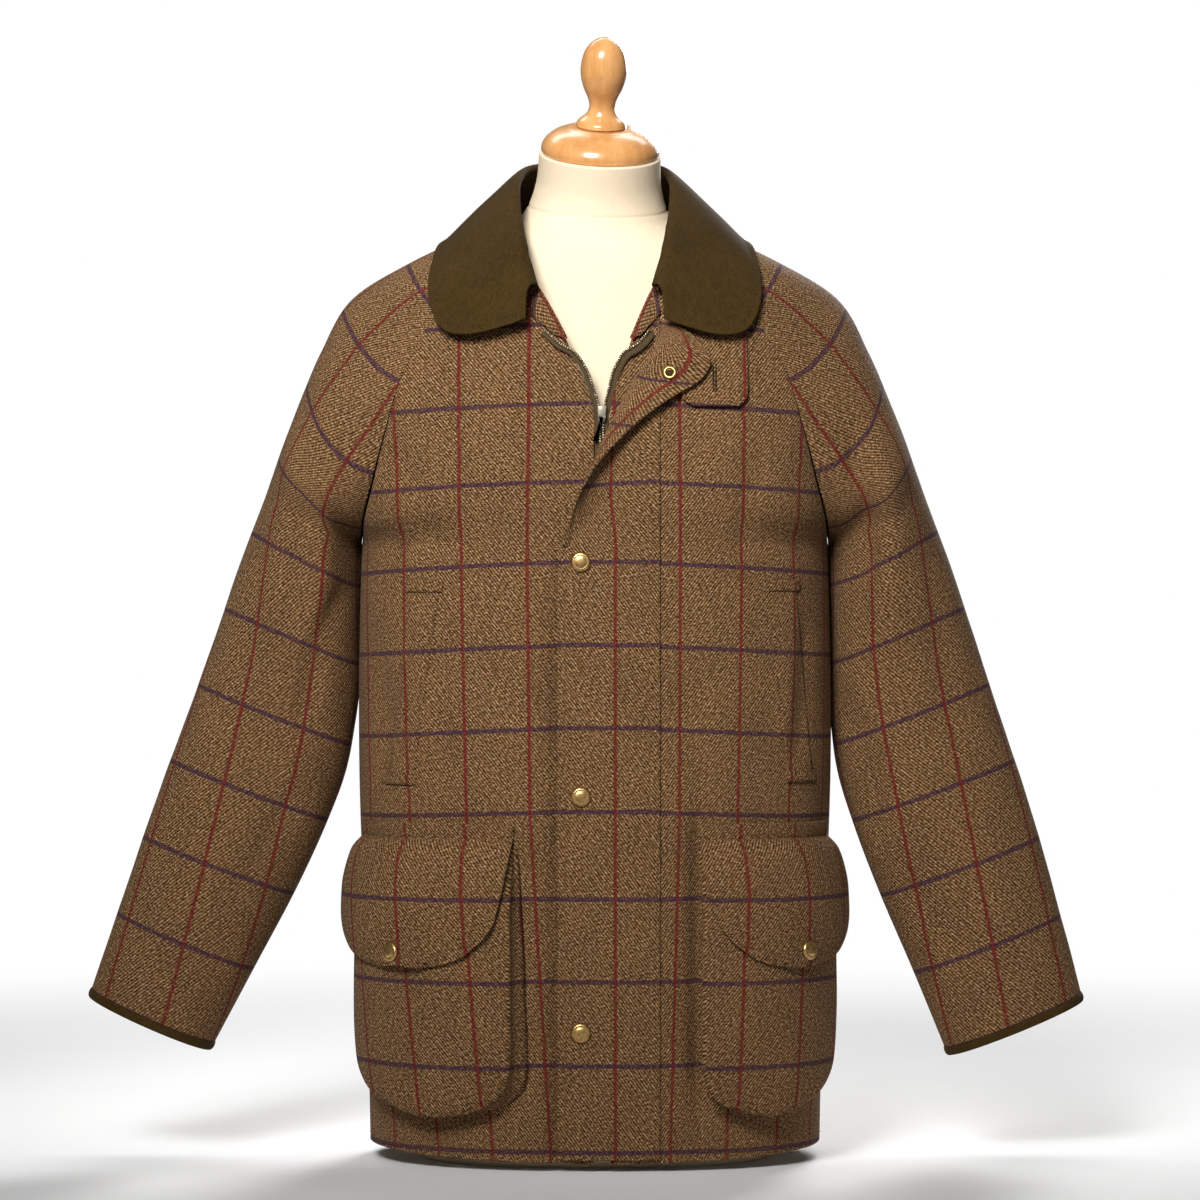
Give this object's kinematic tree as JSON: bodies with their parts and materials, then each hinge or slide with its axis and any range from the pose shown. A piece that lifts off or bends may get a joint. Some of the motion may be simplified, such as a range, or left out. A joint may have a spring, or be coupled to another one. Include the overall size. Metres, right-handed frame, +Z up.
{
  "type": "field coat on a dress form",
  "caption": "Hip-length checked tweed field coat with raglan sleeves, a moleskin collar, a storm fly over its zip and bellows pockets, worn by a limbless dress form with a turned finial.",
  "frame": {"origin": "middle of the dress form's flat base, on the surface it stands on", "axes": "+Z up; the coat's front faces -Y; +X is the wearer's left"},
  "size_m": [0.8639, 0.2847, 0.9662],
  "materials": {
    "tweed": "brown-olive twill tweed with a red and navy windowpane check",
    "moleskin": "dark olive-brown brushed moleskin",
    "form_cloth": "smooth cream cover cloth",
    "wood": "honey beech, glossy varnish",
    "zip_metal": "dark antique metal teeth on dark tape",
    "steel": "worn nickel",
    "snap_brass": "antique brass"
  },
  "bodies": {
    "coat": {"front_right": "tweed", "front_left": "tweed", "back": "tweed", "sleeve_right": "tweed", "sleeve_left": "tweed", "cuff_binding_right": "moleskin", "cuff_binding_left": "moleskin", "collar": "moleskin", "facing_right": "tweed", "facing_left": "tweed", "storm_fly": "tweed", "throat_tab": "tweed", "zip_right": "zip_metal", "zip_left": "zip_metal", "zip_slider": "steel", "pocket_bag_right": "tweed", "pocket_bag_left": "tweed", "pocket_flap_right": "tweed", "pocket_flap_left": "tweed", "welt_right": "tweed", "welt_left": "tweed", "snap_fly_1": "snap_brass", "snap_fly_2": "snap_brass", "snap_fly_3": "snap_brass", "snap_flap_right": "snap_brass", "snap_flap_left": "snap_brass", "snap_socket": "snap_brass", "form_body": "form_cloth", "neck_cap": "wood", "finial": "wood"},
    "zip_pull": {"zip_pull": "steel"}
  },
  "joints": [
    {"name": "zip_pull_swing", "type": "hinge", "parent": "coat", "child": "zip_pull", "pos_m": [0.006, -0.13005, 0.636], "axis": [-0.9613, 0, 0.2756], "range_deg": [0, 120]}
  ]
}
